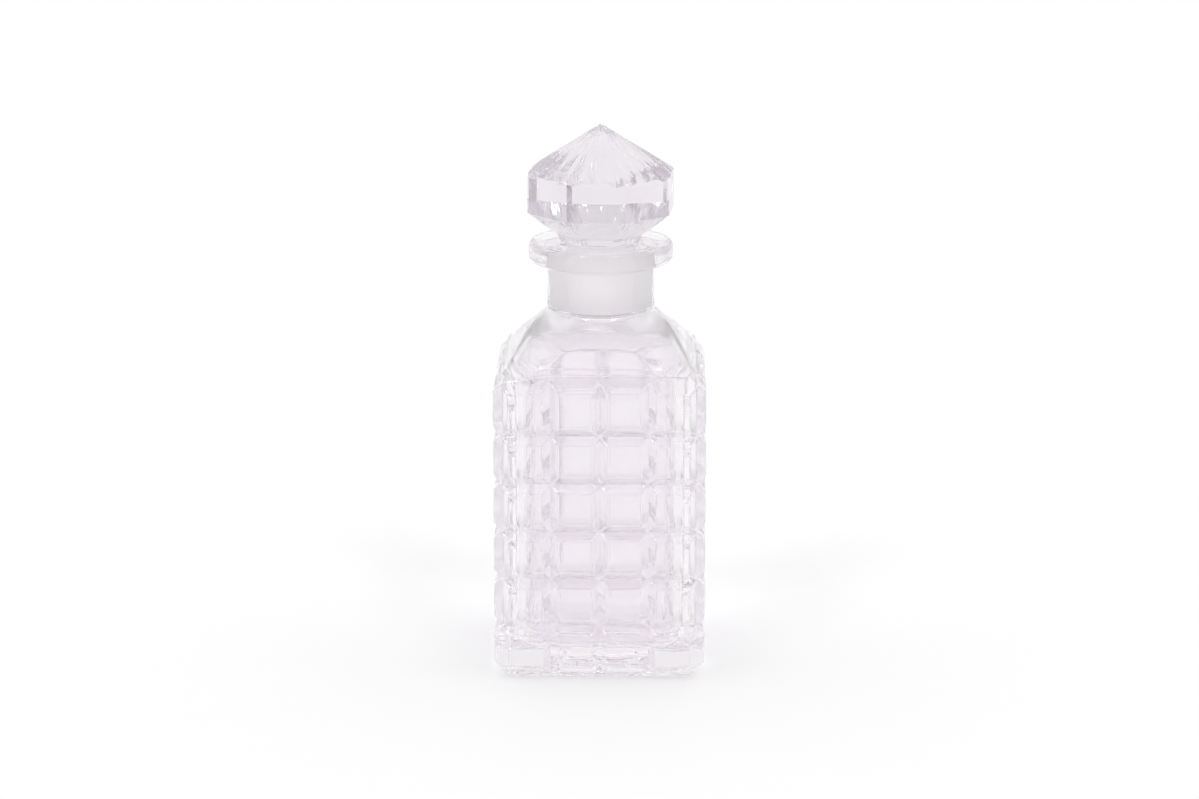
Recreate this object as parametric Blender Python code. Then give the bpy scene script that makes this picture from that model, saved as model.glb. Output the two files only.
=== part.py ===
"""Cut crystal decanter: a square bottle with a block-cut pattern, and the stopper ground into its neck.

The origin is on the table, on the bottle's axis. +Z is up and -Y is the front. All lengths are metres.
"""

import math

import bmesh
import bpy

MM = 0.001

# Bottle: block pattern on the four sides
CORE_HALF = 40.4 * MM  # axis to the bottom of the grooves
BLOCK_RELIEF = 3.2 * MM  # how far a block stands out of the grooves
BLOCK_BEVEL = 3.15 * MM  # width of the slope around a block
COLUMNS = 4
PATTERN_BOTTOM = 2.6 * MM
GROOVE_LEVELS = (22.4 * MM, 42.76 * MM, 63.12 * MM, 83.48 * MM, 103.84 * MM)
PATTERN_TOP = 127.6 * MM
TOP_BEVEL = 5.4 * MM  # height of the slope above the top row
CORNER_DROP = 2.2 * MM  # how much lower the pattern ends at the corners

# Bottle: foot
FOOT_HALF = 39.4 * MM
FOOT_CORNER = 7.0 * MM
PUNT_RADIUS = 18.0 * MM
PUNT_HEIGHT = 3.4 * MM

# Bottle: shoulder, from square to round, as (half width, corner radius, height)
SHOULDER = (
    (39.7 * MM, 7.0 * MM, 128.3 * MM),
    (37.9 * MM, 10.2 * MM, 130.4 * MM),
    (35.8 * MM, 13.4 * MM, 133.3 * MM),
    (33.6 * MM, 17.4 * MM, 136.5 * MM),
    (31.3 * MM, 21.4 * MM, 139.6 * MM),
    (28.5 * MM, 24.4 * MM, 142.7 * MM),
    (25.4 * MM, 24.8 * MM, 145.8 * MM),
    (23.1 * MM, 23.0 * MM, 148.2 * MM),
)

# Bottle: neck and flange
NECK_RADIUS = 22.2 * MM
NECK_BOTTOM = 150.0 * MM
FLANGE_UNDERSIDE = ((22.2, 166.6), (22.9, 167.7), (25.8, 168.5), (28.3, 168.9))
FLANGE_RIM = ((29.5, 169.6), (29.9, 171.2), (29.9, 174.6), (29.6, 176.0), (28.8, 177.0), (27.4, 177.4))
MOUTH_LEVEL = 177.4 * MM

# Ground joint
BORE_BOTTOM = 145.6 * MM
GROUND_BOTTOM = 148.5 * MM
BORE_RADIUS = 13.4 * MM  # at the bottom of the ground length
JOINT_TAPER = 1.0 / 20.0  # radius gained for each length up the joint
JOINT_GAP = 0.3 * MM
MOUTH_CHAMFER = 0.7 * MM

# Hollow of the bottle, as (half width, corner radius, height)
DOME = (
    (14.4 * MM, 14.4 * MM, 144.4 * MM),
    (17.2 * MM, 17.2 * MM, 143.2 * MM),
    (21.0 * MM, 20.4 * MM, 141.6 * MM),
    (25.0 * MM, 20.4 * MM, 139.4 * MM),
    (28.6 * MM, 18.0 * MM, 136.6 * MM),
    (31.4 * MM, 15.0 * MM, 133.0 * MM),
    (33.8 * MM, 12.0 * MM, 129.4 * MM),
    (34.8 * MM, 10.0 * MM, 125.0 * MM),
)
CAVITY_HALF = 34.8 * MM
CAVITY_CORNER = 10.0 * MM
CAVITY_FLOOR = 11.0 * MM
CAVITY_HEEL = 6.0 * MM  # rounding between floor and walls
HEEL_STEPS = 3

# Stopper: octagonal head
HEAD_HALF = 29.2 * MM  # axis to a side face
HEAD_TURN = -5.0  # degrees about the axis, as the stopper happens to sit
EDGE_BEVEL = 2.2 * MM  # width of the facet on each upright edge
HEAD_BOTTOM = 177.9 * MM
HEAD_BOTTOM_HALF = 16.2 * MM
UNDERCUT_LEVEL = 181.0 * MM
UNDERCUT_HALF = 17.5 * MM
BELLY_LEVEL = 185.9 * MM
BELLY_HALF = 24.0 * MM
BAND_BOTTOM = 190.3 * MM
BAND_TOP = 206.3 * MM
SHOULDER_FACET_LEVEL = 209.9 * MM
SHOULDER_FACET_RADIUS = 25.1 * MM
APEX = 225.9 * MM
FLUTES = 24
FLUTE_VALLEY = 0.93  # radius of a valley over radius of a ridge

# Stopper: peg
PEG_BOTTOM = 145.8 * MM
PEG_END_ROUND = 2.4 * MM
END_STEPS = 3
NECKING_RADIUS = 15.2 * MM  # where the peg meets the head

ROUND_SIDES = 64


def clear_scene():
    for obj in list(bpy.data.objects):
        bpy.data.objects.remove(obj, do_unlink=True)


def glass(name, colour, roughness):
    """A clear glass material."""
    material = bpy.data.materials.new(name)
    material.use_nodes = True
    shader = material.node_tree.nodes["Principled BSDF"]
    shader.inputs["Base Color"].default_value = (*colour, 1.0)
    shader.inputs["Roughness"].default_value = roughness
    shader.inputs["Metallic"].default_value = 0.0
    shader.inputs["IOR"].default_value = 1.52
    shader.inputs["Transmission Weight"].default_value = 0.95
    material.diffuse_color = (*colour, 0.5)
    return material


def bottle_glass():
    return glass("bottle_glass", (0.93, 0.91, 0.945), 0.03)


def stopper_glass():
    return glass("stopper_glass", (0.90, 0.895, 0.92), 0.03)


def corner_weighted_angles(count):
    """Angles round the axis, a little closer together at the four corners than between them."""
    angles = []
    per_quarter = count // 4
    for quarter in range(4):
        for step in range(per_quarter):
            t = 2.0 * step / per_quarter - 1.0
            bent = 0.72 * t + 0.28 * t**3
            angles.append(math.radians(90.0 * quarter + 45.0 + 45.0 * bent))
    return angles


ANGLES = corner_weighted_angles(ROUND_SIDES)


def rounded_square_reach(half, corner, angle):
    """How far a square with rounded corners reaches from its centre in the given direction."""
    x = abs(math.cos(angle))
    y = abs(math.sin(angle))
    flat = half / max(x, y)
    inner = half - corner
    if inner <= 0.0:
        return half
    if min(x, y) * flat <= inner:
        return flat
    along = inner * (x + y)
    return along + math.sqrt(max(along**2 - 2.0 * inner**2 + corner**2, 0.0))


def add_ring(bm, half, corner, height):
    ring = []
    for angle in ANGLES:
        reach = rounded_square_reach(half, corner, angle)
        ring.append(bm.verts.new((reach * math.cos(angle), reach * math.sin(angle), height)))
    return ring


def add_circle(bm, radius, height):
    return add_ring(bm, radius, radius, height)


def bridge(bm, first, second):
    """Joins two rings of equal count with four-sided faces."""
    count = len(first)
    for k in range(count):
        after = (k + 1) % count
        bm.faces.new((first[k], first[after], second[after], second[k]))


def turn_of(vert):
    return math.atan2(vert.co.y, vert.co.x) % math.tau


def stitch(bm, first, second):
    """Joins two rings of unequal count with triangles, going round by angle."""
    first = sorted(first, key=turn_of)
    second = sorted(second, key=turn_of)
    i = 0
    j = 0
    while i < len(first) or j < len(second):
        a = first[i % len(first)]
        b = second[j % len(second)]
        next_a = first[(i + 1) % len(first)]
        next_b = second[(j + 1) % len(second)]
        reach_a = turn_of(next_a) + math.tau * ((i + 1) // len(first))
        reach_b = turn_of(next_b) + math.tau * ((j + 1) // len(second))
        if j >= len(second) or (i < len(first) and reach_a <= reach_b):
            bm.faces.new((a, next_a, b))
            i += 1
        else:
            bm.faces.new((a, next_b, b))
            j += 1


def add_square_ring(bm, half, height):
    """A square ring with a vertex at the end of every column of blocks."""
    ring = []
    for side in range(4):
        turn = math.radians(90.0 * side)
        for column in range(COLUMNS):
            across = half * (2.0 * column / COLUMNS - 1.0)
            x = half * math.cos(turn) - across * math.sin(turn)
            y = half * math.sin(turn) + across * math.cos(turn)
            ring.append(bm.verts.new((x, y, height)))
    return ring


def add_block_pattern(bm):
    """The four patterned sides. Returns the bottom and the top ring."""
    levels = (PATTERN_BOTTOM, *GROOVE_LEVELS, PATTERN_TOP)
    rings = [add_square_ring(bm, CORE_HALF, level) for level in levels]
    for low, high in zip(rings, rings[1:]):
        bridge(bm, low, high)
    bm.normal_update()
    bmesh.ops.inset_individual(
        bm, faces=list(bm.faces), thickness=BLOCK_BEVEL, depth=BLOCK_RELIEF, use_even_offset=True
    )
    for vert in bm.verts:
        if vert.co.z > PATTERN_TOP - 1.5 * BLOCK_BEVEL and vert not in rings[-1]:
            vert.co.z = PATTERN_TOP - TOP_BEVEL
    move_corners(rings[-1], -CORNER_DROP)
    move_corners(rings[0], CORNER_DROP)
    return rings[0], rings[-1]


def move_corners(ring, rise):
    """Raises the four corners of a square ring."""
    for vert in ring:
        if abs(abs(vert.co.x) - abs(vert.co.y)) < 0.1 * MM:
            vert.co.z += rise


def add_foot(bm, pattern_ring):
    """The chamfered foot, the flat it stands on and the shallow punt under it."""
    foot = add_ring(bm, FOOT_HALF, FOOT_CORNER, 0.0)
    stitch(bm, pattern_ring, foot)
    rim = add_circle(bm, PUNT_RADIUS, 0.0)
    bridge(bm, foot, rim)
    middle = add_circle(bm, PUNT_RADIUS * 0.92, PUNT_HEIGHT * 0.75)
    bridge(bm, rim, middle)
    inner = add_circle(bm, PUNT_RADIUS * 0.6, PUNT_HEIGHT)
    bridge(bm, middle, inner)
    bm.faces.new(inner)


def add_shoulder_and_neck(bm, pattern_ring):
    """The outside from the pattern up to the flat of the mouth. Returns the last ring."""
    last = None
    for half, corner, height in SHOULDER:
        ring = add_ring(bm, half, corner, height)
        if last is None:
            stitch(bm, pattern_ring, ring)
        else:
            bridge(bm, last, ring)
        last = ring
    profile = [(NECK_RADIUS, NECK_BOTTOM)]
    profile += [(radius * MM, height * MM) for radius, height in FLANGE_UNDERSIDE + FLANGE_RIM]
    for radius, height in profile:
        ring = add_circle(bm, radius, height)
        bridge(bm, last, ring)
        last = ring
    return last


def bore_radius(height):
    """Radius of the bore at a height in the ground length, and of the plain bore under it."""
    return BORE_RADIUS + max(height - GROUND_BOTTOM, 0.0) * JOINT_TAPER


def add_hollow(bm, mouth_ring):
    """The inside from the flat of the mouth down to the floor of the hollow."""
    chamfer_level = MOUTH_LEVEL - MOUTH_CHAMFER
    rings = [
        add_circle(bm, bore_radius(chamfer_level) + MOUTH_CHAMFER, MOUTH_LEVEL),
        add_circle(bm, bore_radius(chamfer_level), chamfer_level),
        add_circle(bm, bore_radius(GROUND_BOTTOM), GROUND_BOTTOM),
        add_circle(bm, bore_radius(BORE_BOTTOM), BORE_BOTTOM),
    ]
    rings += [add_ring(bm, *section) for section in DOME]
    for step in range(HEEL_STEPS + 1):
        turn = math.radians(90.0 * step / HEEL_STEPS)
        inset = CAVITY_HEEL * (1.0 - math.cos(turn))
        height = CAVITY_FLOOR + CAVITY_HEEL * (1.0 - math.sin(turn))
        rings.append(add_ring(bm, CAVITY_HALF - inset, max(CAVITY_CORNER - inset, 3.0 * MM), height))
    bridge(bm, mouth_ring, rings[0])
    for above, below in zip(rings, rings[1:]):
        bridge(bm, above, below)
    bm.faces.new(rings[-1])


def finish_object(bm, name, material, smooth_angle):
    """Makes an object of the mesh, its faces outwards and its round faces smooth."""
    bmesh.ops.recalc_face_normals(bm, faces=list(bm.faces))
    mesh = bpy.data.meshes.new(name)
    bm.to_mesh(mesh)
    bm.free()
    mesh.materials.append(material)
    mesh.shade_smooth()
    mesh.set_sharp_from_angle(angle=math.radians(smooth_angle))
    obj = bpy.data.objects.new(name, mesh)
    bpy.context.scene.collection.objects.link(obj)
    return obj


def make_decanter_body(material):
    bm = bmesh.new()
    bottom, top = add_block_pattern(bm)
    add_foot(bm, bottom)
    mouth = add_shoulder_and_neck(bm, top)
    add_hollow(bm, mouth)
    return finish_object(bm, "decanter_body", material, 22.0)


def add_head_ring(bm, half, height):
    """An octagon with a narrow facet on each corner, with a flat side to the front."""
    bevel = 0.5 * EDGE_BEVEL * half / HEAD_HALF
    corner_half = half * math.tan(math.radians(22.5)) - bevel / math.cos(math.radians(22.5))
    ring = []
    for side in range(8):
        turn = math.radians(45.0 * side + HEAD_TURN)
        for across in (-corner_half, corner_half):
            x = half * math.cos(turn) - across * math.sin(turn)
            y = half * math.sin(turn) + across * math.cos(turn)
            ring.append(bm.verts.new((x, y, height)))
    return ring


def add_head(bm):
    """The faceted head, with its top left as a tall octagonal spire. Returns the bottom ring."""
    rings = [
        add_head_ring(bm, HEAD_BOTTOM_HALF, HEAD_BOTTOM),
        add_head_ring(bm, UNDERCUT_HALF, UNDERCUT_LEVEL),
        add_head_ring(bm, BELLY_HALF, BELLY_LEVEL),
        add_head_ring(bm, HEAD_HALF, BAND_BOTTOM),
        add_head_ring(bm, HEAD_HALF, BAND_TOP),
    ]
    for low, high in zip(rings, rings[1:]):
        bridge(bm, low, high)
    slope = (SHOULDER_FACET_LEVEL - BAND_TOP) / (HEAD_HALF - SHOULDER_FACET_RADIUS)
    tip = bm.verts.new((0.0, 0.0, BAND_TOP + slope * HEAD_HALF))
    top = rings[-1]
    for k, vert in enumerate(top):
        bm.faces.new((vert, top[(k + 1) % len(top)], tip))
    return rings[0]


def peg_radius(height):
    return bore_radius(height) - JOINT_GAP


def add_peg(bm, head_ring):
    """The ground peg, from under the head down to its rounded end."""
    last = add_circle(bm, NECKING_RADIUS, HEAD_BOTTOM - 0.1 * MM)
    stitch(bm, head_ring, last)
    side_bottom = PEG_BOTTOM + PEG_END_ROUND
    sections = [
        (peg_radius(MOUTH_LEVEL), MOUTH_LEVEL),
        (peg_radius(GROUND_BOTTOM), GROUND_BOTTOM),
    ]
    for step in range(END_STEPS + 1):
        turn = math.radians(90.0 * step / END_STEPS)
        inset = PEG_END_ROUND * (1.0 - math.cos(turn))
        drop = PEG_END_ROUND * math.sin(turn)
        sections.append((peg_radius(side_bottom) - inset, side_bottom - drop))
    for radius, height in sections:
        ring = add_circle(bm, radius, height)
        bridge(bm, last, ring)
        last = ring
    bm.faces.new(last)


def make_flute_cutter():
    """A star-shaped cone standing on a star-shaped column: what is inside it stays."""
    skirt_level = BAND_TOP - 5.0 * MM
    slope = SHOULDER_FACET_RADIUS / (APEX - SHOULDER_FACET_LEVEL)
    ridge = slope * (APEX - skirt_level)
    bm = bmesh.new()
    tip = bm.verts.new((0.0, 0.0, APEX))
    rings = []
    for level in (skirt_level, PEG_BOTTOM - 20.0 * MM):
        ring = []
        for k in range(2 * FLUTES):
            radius = ridge * (FLUTE_VALLEY if k % 2 else 1.0)
            turn = math.tau * (k + 0.5) / (2 * FLUTES)
            ring.append(bm.verts.new((radius * math.cos(turn), radius * math.sin(turn), level)))
        rings.append(ring)
    top = rings[0]
    for k, vert in enumerate(top):
        bm.faces.new((vert, top[(k + 1) % len(top)], tip))
    bridge(bm, rings[1], rings[0])
    bm.faces.new(rings[1])
    bmesh.ops.recalc_face_normals(bm, faces=list(bm.faces))
    mesh = bpy.data.meshes.new("flute_cutter")
    bm.to_mesh(mesh)
    bm.free()
    cutter = bpy.data.objects.new("flute_cutter", mesh)
    bpy.context.scene.collection.objects.link(cutter)
    cutter.display_type = "WIRE"
    cutter.hide_render = True
    return cutter


def make_stopper(material):
    bm = bmesh.new()
    head_ring = add_head(bm)
    add_peg(bm, head_ring)
    stopper = finish_object(bm, "stopper", material, 12.0)
    flutes = stopper.modifiers.new("cut_flutes", "BOOLEAN")
    flutes.operation = "INTERSECT"
    flutes.solver = "EXACT"
    flutes.object = make_flute_cutter()
    return stopper


def main():
    clear_scene()
    make_decanter_body(bottle_glass())
    make_stopper(stopper_glass())


main()
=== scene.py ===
"""Looks of the cut crystal decanter: glass, ground joint, studio floor, light and camera."""

import math

import bmesh
import bpy
import numpy as np
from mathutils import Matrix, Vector


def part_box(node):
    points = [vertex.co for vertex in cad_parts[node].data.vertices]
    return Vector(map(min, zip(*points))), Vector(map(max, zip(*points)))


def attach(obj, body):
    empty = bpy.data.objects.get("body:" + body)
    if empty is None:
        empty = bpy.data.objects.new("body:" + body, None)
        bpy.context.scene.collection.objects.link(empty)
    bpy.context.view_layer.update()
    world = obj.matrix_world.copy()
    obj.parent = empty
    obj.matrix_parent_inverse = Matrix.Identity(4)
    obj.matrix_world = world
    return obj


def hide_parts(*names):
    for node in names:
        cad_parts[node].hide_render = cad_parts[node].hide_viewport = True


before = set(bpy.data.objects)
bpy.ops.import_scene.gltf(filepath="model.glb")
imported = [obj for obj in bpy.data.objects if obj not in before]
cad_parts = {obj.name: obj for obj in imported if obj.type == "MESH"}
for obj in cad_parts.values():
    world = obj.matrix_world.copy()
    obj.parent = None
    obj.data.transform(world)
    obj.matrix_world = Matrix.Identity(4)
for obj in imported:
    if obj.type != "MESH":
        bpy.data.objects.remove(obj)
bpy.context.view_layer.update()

# ---------------------------------------------------------------- frame of reference
BODY_LO, BODY_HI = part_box("decanter_body")
BODY_WIDTH_MM = 87.2
U = (BODY_HI.x - BODY_LO.x) / BODY_WIDTH_MM  # one millimetre of the CAD model, in metres
AXIS = Vector(((BODY_LO.x + BODY_HI.x) / 2, (BODY_LO.y + BODY_HI.y) / 2, BODY_LO.z))

# ---------------------------------------------------------------- bottle, in millimetres
# Rows of an outline are (radius, height), or (half width, corner radius, height) for rounded squares.
CORE = 40.4  # half width at the bottoms of the grooves
RELIEF = 3.2  # how far the blocks stand out
SLOPE = 3.15  # width of the slopes round a block
COLUMNS = 4
LEVELS = (2.6, 22.4, 42.76, 63.12, 83.48, 103.84, 127.6)  # ends of the rows
TOP_SLOPE = 5.4
CORNER_DROP = 2.2  # how far the ends of the pattern move in at the corners
FOOT = 39.4
FOOT_CORNER = 7.0
FOOT_EDGE = 1.2
PUNT = (
    (18.5, 0.0), (18.1, 0.3), (17.6, 1.5), (16.7, 2.5), (14.2, 3.1), (9.5, 3.35), (5.0, 3.4), (1.5, 3.4),
)
NECK = 22.2
SHOULDER = (
    (39.7, 7.0, 128.3), (37.9, 10.2, 130.4), (35.8, 13.4, 133.3), (33.6, 17.4, 136.5),
    (31.3, 21.4, 139.6), (28.5, 24.4, 142.7), (25.4, 24.8, 145.8), (23.1, 23.0, 148.2),
    (22.3, 22.3, 150.2), (NECK, NECK, 152.4),
)
MOUTH = 177.4
FLANGE = (
    (NECK, 164.4), (22.25, 166.2), (22.7, 167.3), (24.0, 168.0), (26.2, 168.5), (28.2, 168.95),
    (29.3, 169.7), (29.85, 170.9), (29.95, 172.8), (29.9, 174.8), (29.5, 176.2), (28.7, 177.0),
    (27.4, MOUTH),
)
MOUTH_ROUND = 0.6
GROUND_BOTTOM = 148.5
BORE = 13.4  # radius of the bore at the bottom of the ground joint
TAPER = 0.05  # growth of that radius per millimetre of height
CAVITY = 34.8
CAVITY_CORNER = 10.0
DOME = (
    (BORE, BORE, 147.0), (13.55, 13.55, 145.8), (14.6, 14.6, 144.4), (17.2, 17.2, 143.2),
    (21.0, 20.4, 141.6), (25.0, 20.4, 139.4), (28.6, 18.0, 136.6), (31.4, 15.0, 133.0),
    (33.8, 12.0, 129.4), (34.7, 10.4, 125.0), (CAVITY, CAVITY_CORNER, 119.5),
)
SMALLEST_CORNER = 3.0
HEEL = 7.0  # radius between the walls and the floor of the hollow
FLOOR_TOP = 11.0
FLOOR_SAG = 0.5
FLOOR_SHARES = (0.8, 0.55, 0.3, 0.1)
FLOOR_ROUNDING = 0.9
WAVE = 0.16
WAVE_TOP = 133.0
# Unevenness of the inside wall: size, lobes round the axis, twist, start, pace up the wall, its start.
WAVES = ((1.0, 2.0, 0.05, 0.7, 0.071, 1.1), (0.6, 5.0, -0.09, 0.0, 0.043, 2.0))
BLOCK_EDGE = 0.8
BLOCK_EDGE_SEGMENTS = 3
RIM_WEIGHT = 1.0
SLOPE_WEIGHT = 0.7
BOTTLE_SHARP_DEGREES = 24.0

# ---------------------------------------------------------------- stopper, in millimetres
SIDES = 8
HEAD = 29.2
HEAD_TURN = -5.0  # degrees
EDGE_FACET = 2.2  # width of the facet on each upright edge
HEAD_RINGS = ((16.2, 177.9), (17.5, 181.0), (24.0, 185.9), (HEAD, 190.3), (HEAD, 206.3))
HEAD_BOTTOM = HEAD_RINGS[0][1]
BAND_TOP = HEAD_RINGS[-1][1]
BAND_MIDDLE = 198.3
BAND_REACH = (7.4, 8.2)  # the tool marks fade in between these distances from the middle
CROWN = (25.1, 209.9)
APEX = 225.9
FLUTES = 24
VALLEY = 0.93  # radius at the bottom of a flute, as a share of the radius at its ridge
CONE_OVERLAP = 5.0  # how far the fluted cone goes on below the top of the band
CUTTER_OVERLAP = 20.0
GAP = 0.16  # between the peg and the bore
PEG_COLLAR = ((15.4, HEAD_BOTTOM - 0.1), (15.0, 177.4))
PEG_TOP = 176.8
PEG_GROUND = (176.4, GROUND_BOTTOM + 0.4)
PEG_BOTTOM = 145.8
PEG_ROUND = 2.6
PEG_SAG = 0.25
PEG_SHARES = (0.7, 0.4, 0.15)
STOPPER_SHARP_DEGREES = 9.0
STOPPER_EDGE = 0.22
STOPPER_EDGE_SEGMENTS = 2

# ---------------------------------------------------------------- fineness of the meshes
ROUND = 192  # vertices in a ring
CORNER_PULL = 0.35
CLOSE = 0.05  # millimetres
EDGE_STEPS = 4
ROUND_STEPS = 8
PATH_STEPS = 4
FINE_PATH_STEPS = 3
GROUND_STEPS = 12
WALL_STEPS = 21
POLISHED, GROUND, INSIDE = range(3)  # material slots


# ---------------------------------------------------------------- mesh helpers
def place(x, y, z):
    """A point in the frame, from millimetres off the axis and above the foot."""
    return (AXIS.x + x * U, AXIS.y + y * U, AXIS.z + z * U)


def angles_of(count, pull):
    """Angles round the axis, closer together at the four corners."""
    found = []
    quarter = count // 4
    for side in range(4):
        for step in range(quarter):
            t = 2.0 * step / quarter - 1.0
            found.append(math.radians(90.0 * side + 45.0 + 45.0 * ((1.0 - pull) * t + pull * t**3)))
    return found


TURNS = angles_of(ROUND, CORNER_PULL)


def quarter_turn(steps, first=0):
    """Sines and cosines of even steps from 0 to 90 degrees."""
    turns = [math.radians(90.0 * step / steps) for step in range(first, steps + 1)]
    return [(math.sin(turn), math.cos(turn)) for turn in turns]


def reach(half, corner, angle):
    """How far a square with rounded corners reaches in one direction."""
    x, y = abs(math.cos(angle)), abs(math.sin(angle))
    flat = half / max(x, y)
    inner = half - corner
    if inner <= 1e-9:
        return half
    if min(x, y) * flat <= inner:
        return flat
    along = inner * (x + y)
    return along + math.sqrt(max(along**2 - 2.0 * inner**2 + corner**2, 0.0))


def wave_at(angle, z):
    """Unevenness of the inside wall, as a share of its size."""
    return sum(
        size * math.sin(lobes * angle + twist * z + start) * math.cos(pace * z + pace_start)
        for size, lobes, twist, start, pace, pace_start in WAVES
    )


def ring(bm, half, corner, z, wave=0.0):
    """A closed row of vertices on a square with rounded corners."""
    made = []
    for angle in TURNS:
        r = reach(half, min(corner, half), angle)
        if wave:
            r += wave * wave_at(angle, z)
        made.append(bm.verts.new(place(r * math.cos(angle), r * math.sin(angle), z)))
    return made


def circle(bm, radius, z):
    return ring(bm, radius, radius, z)


def bridge(bm, first, second, slot=POLISHED):
    """Four-sided faces between two rings with the same number of vertices."""
    for k in range(len(first)):
        n = (k + 1) % len(first)
        bm.faces.new((first[k], first[n], second[n], second[k])).material_index = slot


def loft(bm, last, loops, slot=POLISHED):
    """Faces from ring to ring, upward or downward; returns the last ring."""
    for loop in loops:
        bridge(bm, last, loop, slot)
        last = loop
    return last


def fan(bm, loop, tip):
    """Triangles from a ring to a point."""
    for k, vert in enumerate(loop):
        bm.faces.new((vert, loop[(k + 1) % len(loop)], tip))


def turn_of(vert):
    return math.atan2(vert.co.y - AXIS.y, vert.co.x - AXIS.x) % math.tau


def stitch(bm, first, second):
    """Triangles between two rings with different numbers of vertices."""
    first = sorted(first, key=turn_of)
    second = sorted(second, key=turn_of)
    i = j = 0
    while i < len(first) or j < len(second):
        a, b = first[i % len(first)], second[j % len(second)]
        next_a, next_b = first[(i + 1) % len(first)], second[(j + 1) % len(second)]
        turn_a = turn_of(next_a) + math.tau * ((i + 1) // len(first))
        turn_b = turn_of(next_b) + math.tau * ((j + 1) // len(second))
        if j >= len(second) or (i < len(first) and turn_a <= turn_b):
            bm.faces.new((a, next_a, b))
            i += 1
        else:
            bm.faces.new((a, next_b, b))
            j += 1


def smooth_path(points, steps):
    """A Catmull-Rom curve through the points, as rows of numbers."""
    pts = np.array(points, float)
    ext = np.vstack([2 * pts[0] - pts[1], pts, 2 * pts[-1] - pts[-2]])
    out = []
    for p0, p1, p2, p3 in zip(ext, ext[1:], ext[2:], ext[3:]):
        for step in range(steps):
            t = step / steps
            square = (2 * p0 - 5 * p1 + 4 * p2 - p3) * t**2
            cube = (3 * p1 - p0 - 3 * p2 + p3) * t**3
            out.append(0.5 * (2 * p1 + (p2 - p0) * t + square + cube))
    out.append(pts[-1])
    return [tuple(float(value) for value in row) for row in out]


def make_piece(bm, name, materials, sharp_degrees):
    """An object with smooth shading up to a sharp angle; frees the bmesh."""
    bmesh.ops.recalc_face_normals(bm, faces=list(bm.faces))
    mesh = bpy.data.meshes.new(name)
    bm.to_mesh(mesh)
    bm.free()
    for material in materials:
        mesh.materials.append(material)
    mesh.polygons.foreach_set("use_smooth", [True] * len(mesh.polygons))
    mesh.set_sharp_from_angle(angle=math.radians(sharp_degrees))
    return link_object(name, mesh)


def link_object(name, data):
    obj = bpy.data.objects.new(name, data)
    bpy.context.scene.collection.objects.link(obj)
    return obj


def soften(obj, width_mm, segments):
    """A bevel along the edges, with the shading of the faces kept."""
    bevel = obj.modifiers.new("soft_edges", "BEVEL")
    bevel.width = width_mm * U
    bevel.segments = segments
    bevel.harden_normals = True
    return bevel


# ---------------------------------------------------------------- bottle
def square_ring(bm, half, z):
    """Vertices at the corners of the blocks, round a plain square."""
    made = []
    for side in range(4):
        c, s = math.cos(math.pi / 2 * side), math.sin(math.pi / 2 * side)
        for column in range(COLUMNS):
            across = half * (2.0 * column / COLUMNS - 1.0)
            made.append(bm.verts.new(place(half * c - across * s, half * s + across * c, z)))
    return made


def block_pattern(bm):
    """The four sides with their blocks; returns the lowest and the highest ring."""
    rings = [square_ring(bm, CORE, z) for z in LEVELS]
    for low, high in zip(rings, rings[1:]):
        bridge(bm, low, high)
    bm.normal_update()
    bmesh.ops.inset_individual(
        bm, faces=list(bm.faces), thickness=SLOPE * U, depth=RELIEF * U, use_even_offset=True
    )
    top = LEVELS[-1]
    for vert in bm.verts:
        if vert.co.z > AXIS.z + (top - 1.5 * SLOPE) * U and vert not in rings[-1]:
            vert.co.z = AXIS.z + (top - TOP_SLOPE) * U  # the slope over the top row is taller
    move_corners(rings[-1], -CORNER_DROP * U)
    move_corners(rings[0], CORNER_DROP * U)
    return rings[0], rings[-1]


def move_corners(loop, rise):
    """Moves the four corner vertices of a square ring up or down."""
    for vert in loop:
        if abs(abs(vert.co.x - AXIS.x) - abs(vert.co.y - AXIS.y)) < 2 * CLOSE * U:
            vert.co.z += rise


def level_of(vert):
    """How far out a vertex lies, measured square to its side of the bottle, in millimetres."""
    return max(abs(vert.co.x - AXIS.x), abs(vert.co.y - AXIS.y)) / U


def weigh_pattern_edges(bm, weights):
    """The rims of the blocks get a full rounding, and the edges down their slopes less of one."""
    face_level = CORE + RELIEF - CLOSE
    for edge in bm.edges:
        raised = sum(level_of(vert) > face_level for vert in edge.verts)
        if raised:
            edge[weights] = RIM_WEIGHT if raised == 2 else SLOPE_WEIGHT


def add_foot(bm, low):
    """The flat foot with its rounded edge, and the punt in the middle of it."""
    loops = [
        ring(bm, FOOT - FOOT_EDGE * (1.0 - cos), FOOT_CORNER, FOOT_EDGE * (1.0 - sin))
        for sin, cos in quarter_turn(EDGE_STEPS)
    ]
    stitch(bm, low, loops[0])
    last = loft(bm, loops[0], loops[1:])
    last = loft(bm, last, [circle(bm, radius, z) for radius, z in smooth_path(PUNT, FINE_PATH_STEPS)])
    bm.faces.new(last)


def add_shoulder_and_flange(bm, high):
    """From the square pattern up to the edge of the mouth; returns the last ring."""
    loops = [ring(bm, half, corner, z) for half, corner, z in smooth_path(SHOULDER, PATH_STEPS)]
    stitch(bm, high, loops[0])
    last = loft(bm, loops[0], loops[1:])
    return loft(bm, last, [circle(bm, radius, z) for radius, z in smooth_path(FLANGE, FINE_PATH_STEPS)])


def bore_radius(z):
    return BORE + (z - GROUND_BOTTOM) * TAPER


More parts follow.
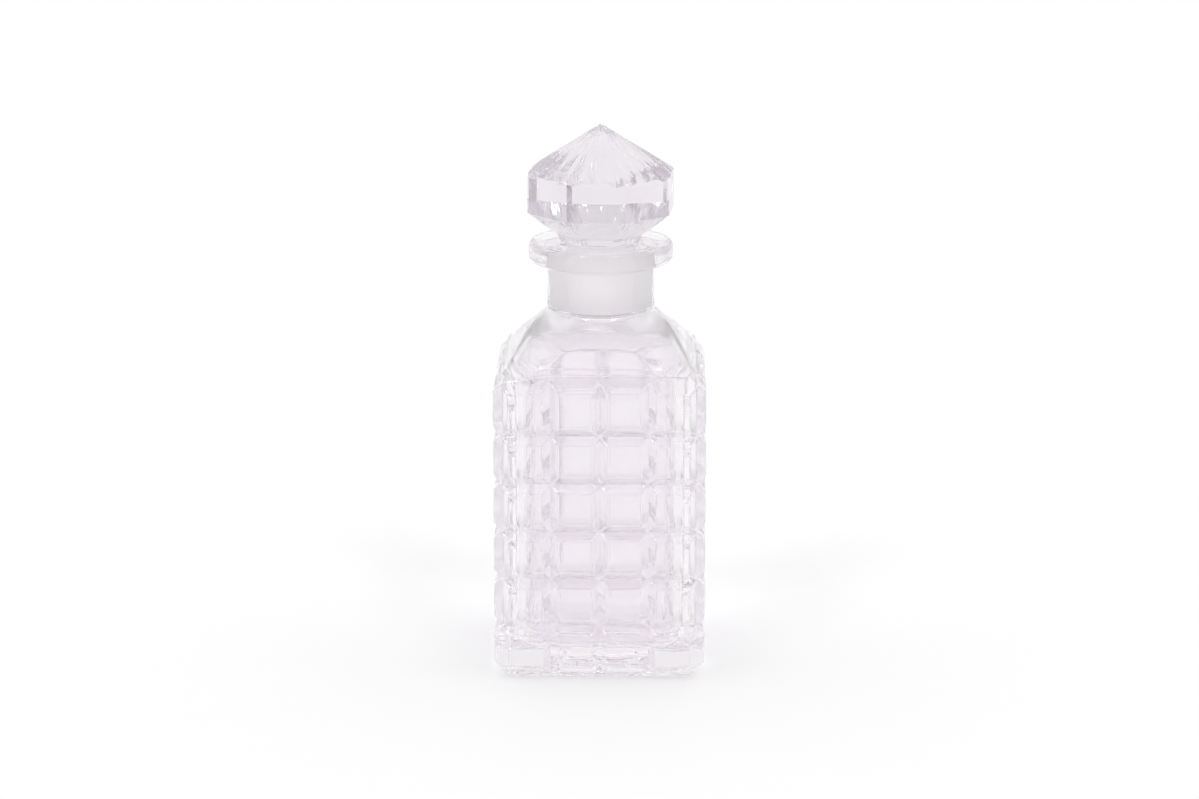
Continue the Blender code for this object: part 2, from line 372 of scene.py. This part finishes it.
def add_bore(bm, last):
    """The rounded edge of the mouth and the ground bore under it; returns the last ring."""
    start = MOUTH - MOUTH_ROUND
    last = loft(bm, last, [
        circle(bm, bore_radius(start) + MOUTH_ROUND * (1.0 - sin), MOUTH - MOUTH_ROUND * (1.0 - cos))
        for sin, cos in quarter_turn(EDGE_STEPS)
    ])
    heights = [start + (GROUND_BOTTOM - start) * k / GROUND_STEPS for k in range(1, GROUND_STEPS + 1)]
    return loft(bm, last, [circle(bm, bore_radius(z), z) for z in heights], GROUND)


def add_hollow(bm, last):
    """The inside of the bottle, from the bottom of the bore to its floor."""
    last = loft(bm, last, [
        ring(bm, half, corner, z, WAVE if z < WAVE_TOP else 0.0)
        for half, corner, z in smooth_path(DOME, PATH_STEPS)
    ], INSIDE)
    top, bottom = DOME[-1][2], FLOOR_TOP + HEEL
    heights = [top + (bottom - top) * k / WALL_STEPS for k in range(1, WALL_STEPS + 1)]
    last = loft(bm, last, [ring(bm, CAVITY, CAVITY_CORNER, z, WAVE) for z in heights], INSIDE)
    for sin, cos in quarter_turn(ROUND_STEPS, 1):
        inset = HEEL * (1.0 - cos)
        corner = max(CAVITY_CORNER - inset, SMALLEST_CORNER)
        last = loft(bm, last, [ring(bm, CAVITY - inset, corner, FLOOR_TOP + HEEL * (1.0 - sin), WAVE)])
    for share in FLOOR_SHARES:
        half = (CAVITY - HEEL) * share
        corner = half * (1.0 - FLOOR_ROUNDING * share)
        last = loft(bm, last, [ring(bm, half, corner, FLOOR_TOP - FLOOR_SAG * (1.0 - share))])
    bm.faces.new(last)


def build_bottle(polished, ground, inside):
    bm = bmesh.new()
    weights = bm.edges.layers.float.new("bevel_weight_edge")
    low, high = block_pattern(bm)
    weigh_pattern_edges(bm, weights)
    add_foot(bm, low)
    add_hollow(bm, add_bore(bm, add_shoulder_and_flange(bm, high)))
    piece = make_piece(bm, "bottle_glass_body", (polished, ground, inside), BOTTLE_SHARP_DEGREES)
    bevel = soften(piece, BLOCK_EDGE, BLOCK_EDGE_SEGMENTS)
    bevel.limit_method = "WEIGHT"
    bevel.miter_outer = "MITER_ARC"
    bevel.use_clamp_overlap = True
    return piece


# ---------------------------------------------------------------- stopper
def head_ring(bm, half, z):
    """An octagon with a narrow facet at each corner."""
    facet = 0.5 * EDGE_FACET * half / HEAD
    span = half * math.tan(math.pi / SIDES) - facet / math.cos(math.pi / SIDES)
    made = []
    for side in range(SIDES):
        turn = math.radians(360.0 / SIDES * side + HEAD_TURN)
        c, s = math.cos(turn), math.sin(turn)
        for across in (-span, span):
            made.append(bm.verts.new(place(half * c - across * s, half * s + across * c, z)))
    return made


def add_head(bm):
    """The faceted head under a plain point, which the flutes cut off; returns its lowest ring."""
    rings = [head_ring(bm, half, z) for half, z in HEAD_RINGS]
    loft(bm, rings[0], rings[1:])
    steep = (CROWN[1] - BAND_TOP) / (HEAD - CROWN[0])
    tip = bm.verts.new(place(0.0, 0.0, BAND_TOP + steep * HEAD))
    fan(bm, rings[-1], tip)
    return rings[0]


def peg_radius(z):
    return bore_radius(z) - GAP


def add_peg(bm, head_bottom):
    """The peg under the head: collar, ground cone and rounded end."""
    last = circle(bm, *PEG_COLLAR[0])
    stitch(bm, head_bottom, last)
    last = loft(bm, last, [circle(bm, *PEG_COLLAR[1]), circle(bm, peg_radius(PEG_TOP), PEG_TOP)])
    heights = [float(z) for z in np.linspace(*PEG_GROUND, GROUND_STEPS)]
    last = loft(bm, last, [circle(bm, peg_radius(z), z) for z in heights], GROUND)
    edge = PEG_BOTTOM + PEG_ROUND
    last = loft(bm, last, [
        circle(bm, peg_radius(edge) - PEG_ROUND * (1.0 - cos), edge - PEG_ROUND * sin)
        for sin, cos in quarter_turn(ROUND_STEPS)
    ])
    last = loft(bm, last, [
        circle(bm, (peg_radius(edge) - PEG_ROUND) * share, PEG_BOTTOM - PEG_SAG * (1.0 - share))
        for share in PEG_SHARES
    ])
    bm.faces.new(last)


def flute_cutter():
    """A fluted cone on a long skirt; what it shares with the plain stopper is the finished shape."""
    skirt = BAND_TOP - CONE_OVERLAP
    ridge = CROWN[0] / (APEX - CROWN[1]) * (APEX - skirt)
    bm = bmesh.new()
    tip = bm.verts.new(place(0.0, 0.0, APEX))
    rings = []
    for z in (skirt, PEG_BOTTOM - CUTTER_OVERLAP):
        loop = []
        for k in range(2 * FLUTES):
            r = ridge * (VALLEY if k % 2 else 1.0)
            turn = math.tau * (k + 0.5) / (2 * FLUTES)
            loop.append(bm.verts.new(place(r * math.cos(turn), r * math.sin(turn), z)))
        rings.append(loop)
    fan(bm, rings[0], tip)
    bridge(bm, rings[1], rings[0])
    bm.faces.new(rings[1])
    return make_piece(bm, "flute_cutter", (), STOPPER_SHARP_DEGREES)


def shared_mesh(raw, cutter):
    """The mesh of what two objects share; removes both objects."""
    cut = raw.modifiers.new("flutes", "BOOLEAN")
    cut.operation = "INTERSECT"
    cut.solver = "EXACT"
    cut.object = cutter
    graph = bpy.context.evaluated_depsgraph_get()
    mesh = bpy.data.meshes.new_from_object(raw.evaluated_get(graph))
    bpy.data.objects.remove(raw)
    bpy.data.objects.remove(cutter)
    return mesh


def build_stopper(polished, ground):
    bm = bmesh.new()
    add_peg(bm, add_head(bm))
    raw = make_piece(bm, "stopper_raw", (polished, ground), STOPPER_SHARP_DEGREES)
    mesh = shared_mesh(raw, flute_cutter())
    mesh.name = "glass_stopper"
    mesh.set_sharp_from_angle(angle=math.radians(STOPPER_SHARP_DEGREES))
    piece = link_object("glass_stopper", mesh)
    bevel = soften(piece, STOPPER_EDGE, STOPPER_EDGE_SEGMENTS)
    bevel.limit_method = "ANGLE"
    bevel.angle_limit = math.radians(STOPPER_SHARP_DEGREES)
    return piece


# ---------------------------------------------------------------- materials
GLASS_IOR = 1.53
LAMP_TINT = (0.89, 0.88, 0.89)  # what is left of the lamps' light behind the glass
BOTTLE_TINT = (0.937, 0.914, 0.941)
FINISHES = {
    "bottle_polished": dict(
        tint=BOTTLE_TINT, through=0.97, shine=0.5,
        roughness=0.02, spread=0.04, bump_mm=0.06, bump_scale=90.0,
    ),
    "bottle_inside": dict(
        tint=BOTTLE_TINT, through=0.95, shine=0.5,
        roughness=0.12, spread=0.05, bump_mm=0.10, bump_scale=75.0,
    ),
    "stopper_polished": dict(
        tint=(0.955, 0.935, 0.957), through=1.0, shine=0.5,
        roughness=0.0, spread=0.02, bump_mm=0.02, bump_scale=70.0,
    ),
    "ground": dict(
        tint=(0.995, 0.985, 0.984), through=0.05, shine=0.0,
        roughness=0.6, spread=0.15, bump_mm=0.004, bump_scale=900.0,
    ),
}
TONE_SCALE, TONE_DETAIL = 35.0, 2.0
TONE_RANGE = (0.985, 1.01)
WEAR_SCALE, WEAR_DETAIL = 420.0, 3.0
WEAR_RANGE = (0.35, 0.75)
SWELL_DETAIL = 1.5
DEPTH_COLOUR = (0.71, 0.667, 0.718)
DEPTH_DENSITY = 8.2
STREAK_SCALE, STREAK_DETAIL = 11.0, 3.0
STREAK_DEPTH_MM = 0.36


def add(tree, kind, values=None, **settings):
    """A shader node with its settings, and with the values of its sockets by name or number."""
    node = tree.nodes.new(kind)
    for name, value in settings.items():
        setattr(node, name, value)
    for socket, value in (values or {}).items():
        node.inputs[socket].default_value = value
    return node


def remap(tree, source, before, after=(0.0, 1.0), curve="LINEAR"):
    """The output of a Map Range node, fed by another output."""
    node = add(tree, "ShaderNodeMapRange", interpolation_type=curve)
    for socket, value in zip(("From Min", "From Max", "To Min", "To Max"), (*before, *after)):
        node.inputs[socket].default_value = value
    tree.links.new(source, node.inputs["Value"])
    return node.outputs["Result"]


def math_node(tree, operation, *sources):
    """The output of a Math node; a source is an output or a number."""
    node = add(tree, "ShaderNodeMath", operation=operation)
    for k, source in enumerate(sources):
        if isinstance(source, float):
            node.inputs[k].default_value = source
        else:
            tree.links.new(source, node.inputs[k])
    return node.outputs["Value"]


def noise(tree, vector, scale, detail):
    node = add(tree, "ShaderNodeTexNoise", {"Scale": scale, "Detail": detail})
    tree.links.new(vector, node.inputs["Vector"])
    return node.outputs["Fac"]


def mix_shaders(tree, share, first, second):
    """The output of a Mix Shader node."""
    node = add(tree, "ShaderNodeMixShader")
    for socket, source in ((0, share), (1, first), (2, second)):
        tree.links.new(source, node.inputs[socket])
    return node.outputs["Shader"]


def new_material(name):
    material = bpy.data.materials.new(name)
    material.use_nodes = True
    material.node_tree.nodes.clear()
    return material, material.node_tree


def vary_tint(tree, where, glass, tint):
    """The tint drifts a little from place to place."""
    low, high = TONE_RANGE
    mix = add(tree, "ShaderNodeMix", data_type="RGBA")
    mix.inputs["A"].default_value = (*[channel * low for channel in tint], 1.0)
    mix.inputs["B"].default_value = (*[min(channel * high, 1.0) for channel in tint], 1.0)
    tree.links.new(noise(tree, where, TONE_SCALE, TONE_DETAIL), mix.inputs["Factor"])
    tree.links.new(mix.outputs["Result"], glass.inputs["Base Color"])


def vary_roughness(tree, where, glass, roughness, spread):
    """Fine wear makes some spots rougher."""
    wear = noise(tree, where, WEAR_SCALE, WEAR_DETAIL)
    rough = remap(tree, wear, WEAR_RANGE, (roughness, roughness + spread))
    tree.links.new(rough, glass.inputs["Roughness"])


def make_uneven(tree, where, glass, depth_mm, scale):
    """The slow swell of fire-polished glass, or the grain of ground glass."""
    bump = add(tree, "ShaderNodeBump", {"Strength": 1.0, "Distance": depth_mm * U})
    tree.links.new(noise(tree, where, scale, SWELL_DETAIL), bump.inputs["Height"])
    tree.links.new(bump.outputs["Normal"], glass.inputs["Normal"])


def glass_material(name, tint, through, shine, roughness, spread, bump_mm, bump_scale):
    """Glass that lets the lamps' light straight through, so that its shadow stays pale."""
    material, tree = new_material(name)
    values = {"IOR": GLASS_IOR, "Transmission Weight": through, "Specular IOR Level": shine}
    glass = add(tree, "ShaderNodeBsdfPrincipled", values)
    where = add(tree, "ShaderNodeTexCoord").outputs["Object"]
    vary_tint(tree, where, glass, tint)
    vary_roughness(tree, where, glass, roughness, spread)
    make_uneven(tree, where, glass, bump_mm, bump_scale)
    clear = add(tree, "ShaderNodeBsdfTransparent", {"Color": (*LAMP_TINT, 1.0)})
    shadow_ray = add(tree, "ShaderNodeLightPath").outputs["Is Shadow Ray"]
    surface = mix_shaders(tree, shadow_ray, glass.outputs["BSDF"], clear.outputs["BSDF"])
    tree.links.new(surface, add(tree, "ShaderNodeOutputMaterial").inputs["Surface"])
    return material


def find_node(tree, kind):
    return next(node for node in tree.nodes if node.bl_idname == kind)


def add_depth_colour(material, colour, density):
    """Thick glass takes up a little light, so long paths through the facets come out darker."""
    tree = material.node_tree
    volume = add(tree, "ShaderNodeVolumeAbsorption", {"Color": (*colour, 1.0), "Density": density})
    out = find_node(tree, "ShaderNodeOutputMaterial")
    tree.links.new(volume.outputs["Volume"], out.inputs["Volume"])


def add_streaks(material, depth_mm):
    """Fine tool marks that run down the facets above and below the band of the stopper."""
    tree = material.node_tree
    split = add(tree, "ShaderNodeSeparateXYZ")
    tree.links.new(add(tree, "ShaderNodeTexCoord").outputs["Object"], split.inputs["Vector"])
    join = add(tree, "ShaderNodeCombineXYZ")
    turn = math_node(tree, "ARCTAN2", split.outputs["Y"], split.outputs["X"])
    tree.links.new(turn, join.inputs["X"])
    tree.links.new(split.outputs["Z"], join.inputs["Z"])
    marks = noise(tree, join.outputs["Vector"], STREAK_SCALE, STREAK_DETAIL)
    above = math_node(tree, "SUBTRACT", split.outputs["Z"], AXIS.z + BAND_MIDDLE * U)
    away = math_node(tree, "ABSOLUTE", above)
    bump = add(tree, "ShaderNodeBump", {"Distance": depth_mm * U})
    tree.links.new(remap(tree, away, [reach_mm * U for reach_mm in BAND_REACH]), bump.inputs["Strength"])
    tree.links.new(marks, bump.inputs["Height"])
    glass = find_node(tree, "ShaderNodeBsdfPrincipled")
    tree.links.new(glass.inputs["Normal"].links[0].from_socket, bump.inputs["Normal"])
    tree.links.new(bump.outputs["Normal"], glass.inputs["Normal"])


# ---------------------------------------------------------------- stage, in metres and degrees
FLOOR_HALF = 6.0
FLOOR_DROP = 0.0002
FLOOR_WHITE = 0.925
FLOOR_ROUGHNESS = 0.85
FLOOR_SHINE = 0.15
FLOOR_FADE = (1.0, 3.0)  # the floor turns clear between these distances
WHITE = (1.0, 1.0, 1.0, 1.0)
# How high (z) and how far back (y) a direction points, and the share of the light that comes from it.
RISE_RANGE, RISE_LIGHT = (0.0, 0.8), (0.92, 0.89)
DEPTH_RANGE, DEPTH_LIGHT = (-0.95, -0.2), (0.93, 1.0)
# The dimmer patch behind the camera: its middle, the start and end of its soft edge, the light left.
PATCH_RISE = 18.0
PATCH_OUTER = 15.0
PATCH_INNER = 9.0
PATCH_LIGHT = 0.5
SUNS = {"soft_key_left": -38.0, "soft_key_right": 34.0}
SUN_RISE = 48.0
SUN_STRENGTH = 0.46
SUN_SPREAD = 10.0
SUN_DISTANCE = 2.0
CAMERA_AZIMUTH = 0.9
CAMERA_RISE = 14.8
CAMERA_DISTANCE = 1.465
CAMERA_LENS = 105.1  # millimetres, like the sensor
CAMERA_SENSOR = 36.0
CAMERA_CLIP = (0.05, 50.0)
TARGET_MM = (-0.55, 0.0, 108.85)
GLASS_BOUNCES = 40
DIFFUSE_BOUNCES = 16


def floor_material():
    """Matt white paint that fades out to the white of the room."""
    material, tree = new_material("studio_floor_white")
    paint = add(tree, "ShaderNodeBsdfPrincipled", {
        "Base Color": (FLOOR_WHITE, FLOOR_WHITE, FLOOR_WHITE, 1.0),
        "Roughness": FLOOR_ROUGHNESS,
        "Specular IOR Level": FLOOR_SHINE,
    })
    clear = add(tree, "ShaderNodeBsdfTransparent")
    length = add(tree, "ShaderNodeVectorMath", operation="LENGTH")
    tree.links.new(add(tree, "ShaderNodeTexCoord").outputs["Object"], length.inputs[0])
    fade = remap(tree, length.outputs["Value"], FLOOR_FADE, curve="SMOOTHSTEP")
    surface = mix_shaders(tree, fade, paint.outputs["BSDF"], clear.outputs["BSDF"])
    tree.links.new(surface, add(tree, "ShaderNodeOutputMaterial").inputs["Surface"])
    return material


def build_floor():
    bm = bmesh.new()
    bmesh.ops.create_grid(bm, x_segments=1, y_segments=1, size=FLOOR_HALF)
    mesh = bpy.data.meshes.new("studio_floor")
    bm.to_mesh(mesh)
    bm.free()
    mesh.materials.append(floor_material())
    floor = link_object("studio_floor", mesh)
    floor.location = (AXIS.x, AXIS.y, AXIS.z - FLOOR_DROP)


def room_light(tree):
    """Strength of the light from each direction of the room."""
    direction = add(tree, "ShaderNodeTexCoord").outputs["Generated"]
    split = add(tree, "ShaderNodeSeparateXYZ")
    tree.links.new(direction, split.inputs["Vector"])
    height = remap(tree, split.outputs["Z"], RISE_RANGE, RISE_LIGHT, "SMOOTHSTEP")
    depth = remap(tree, split.outputs["Y"], DEPTH_RANGE, DEPTH_LIGHT, "SMOOTHSTEP")
    rise = math.radians(PATCH_RISE)
    middle = (0.0, -math.cos(rise), math.sin(rise))
    facing = add(tree, "ShaderNodeVectorMath", {1: middle}, operation="DOT_PRODUCT")
    tree.links.new(direction, facing.inputs[0])
    edges = [math.cos(math.radians(angle)) for angle in (PATCH_OUTER, PATCH_INNER)]
    patch = remap(tree, facing.outputs["Value"], edges, (1.0, PATCH_LIGHT), "SMOOTHSTEP")
    return math_node(tree, "MULTIPLY", math_node(tree, "MULTIPLY", height, depth), patch)


def build_world():
    """A pale room for the glass, and plain white behind it for the camera."""
    world = bpy.data.worlds.new("studio")
    bpy.context.scene.world = world
    world.use_nodes = True
    tree = world.node_tree
    tree.nodes.clear()
    room = add(tree, "ShaderNodeBackground", {"Color": WHITE})
    tree.links.new(room_light(tree), room.inputs["Strength"])
    seen = add(tree, "ShaderNodeBackground", {"Color": WHITE})
    camera_ray = add(tree, "ShaderNodeLightPath").outputs["Is Camera Ray"]
    surface = mix_shaders(tree, camera_ray, room.outputs["Background"], seen.outputs["Background"])
    tree.links.new(surface, add(tree, "ShaderNodeOutputWorld").inputs["Surface"])


def direction_of(azimuth, rise):
    """Away from the object; azimuth 0 is straight in front of it and grows to the right."""
    a, e = math.radians(azimuth), math.radians(rise)
    return Vector((math.sin(a) * math.cos(e), -math.cos(a) * math.cos(e), math.sin(e)))


def build_lights():
    for name, azimuth in SUNS.items():
        data = bpy.data.lights.new(name, "SUN")
        data.energy = SUN_STRENGTH
        data.angle = math.radians(SUN_SPREAD)
        lamp = link_object(name, data)
        back = direction_of(azimuth, SUN_RISE)
        lamp.rotation_mode = "QUATERNION"
        lamp.rotation_quaternion = back.to_track_quat("Z", "Y")
        lamp.location = back * SUN_DISTANCE


def build_camera():
    data = bpy.data.cameras.new("camera")
    data.lens = CAMERA_LENS
    data.sensor_width = CAMERA_SENSOR
    data.clip_start, data.clip_end = CAMERA_CLIP
    camera = link_object("camera", data)
    back = direction_of(CAMERA_AZIMUTH, CAMERA_RISE)
    camera.rotation_mode = "QUATERNION"
    camera.rotation_quaternion = (-back).to_track_quat("-Z", "Y")
    camera.location = Vector(place(*TARGET_MM)) + back * CAMERA_DISTANCE
    bpy.context.scene.camera = camera


def set_light_paths():
    """Enough bounces for light to find its way through all the walls and facets."""
    scene = bpy.context.scene
    scene.view_settings.view_transform = "Standard"
    scene.cycles.max_bounces = GLASS_BOUNCES
    scene.cycles.transmission_bounces = GLASS_BOUNCES
    scene.cycles.glossy_bounces = GLASS_BOUNCES
    scene.cycles.diffuse_bounces = DIFFUSE_BOUNCES


def main():
    polished = glass_material("bottle_polished", **FINISHES["bottle_polished"])
    inside = glass_material("bottle_inside", **FINISHES["bottle_inside"])
    ground = glass_material("bottle_ground", **FINISHES["ground"])
    bottle = build_bottle(polished, ground, inside)
    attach(bottle, "decanter")
    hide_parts("decanter_body")

    polished = glass_material("stopper_polished", **FINISHES["stopper_polished"])
    add_streaks(polished, STREAK_DEPTH_MM)
    add_depth_colour(polished, DEPTH_COLOUR, DEPTH_DENSITY)
    ground = glass_material("stopper_ground", **FINISHES["ground"])
    stopper = build_stopper(polished, ground)
    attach(stopper, "stopper")
    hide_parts("stopper")

    build_floor()
    build_world()
    build_lights()
    build_camera()
    set_light_paths()


main()
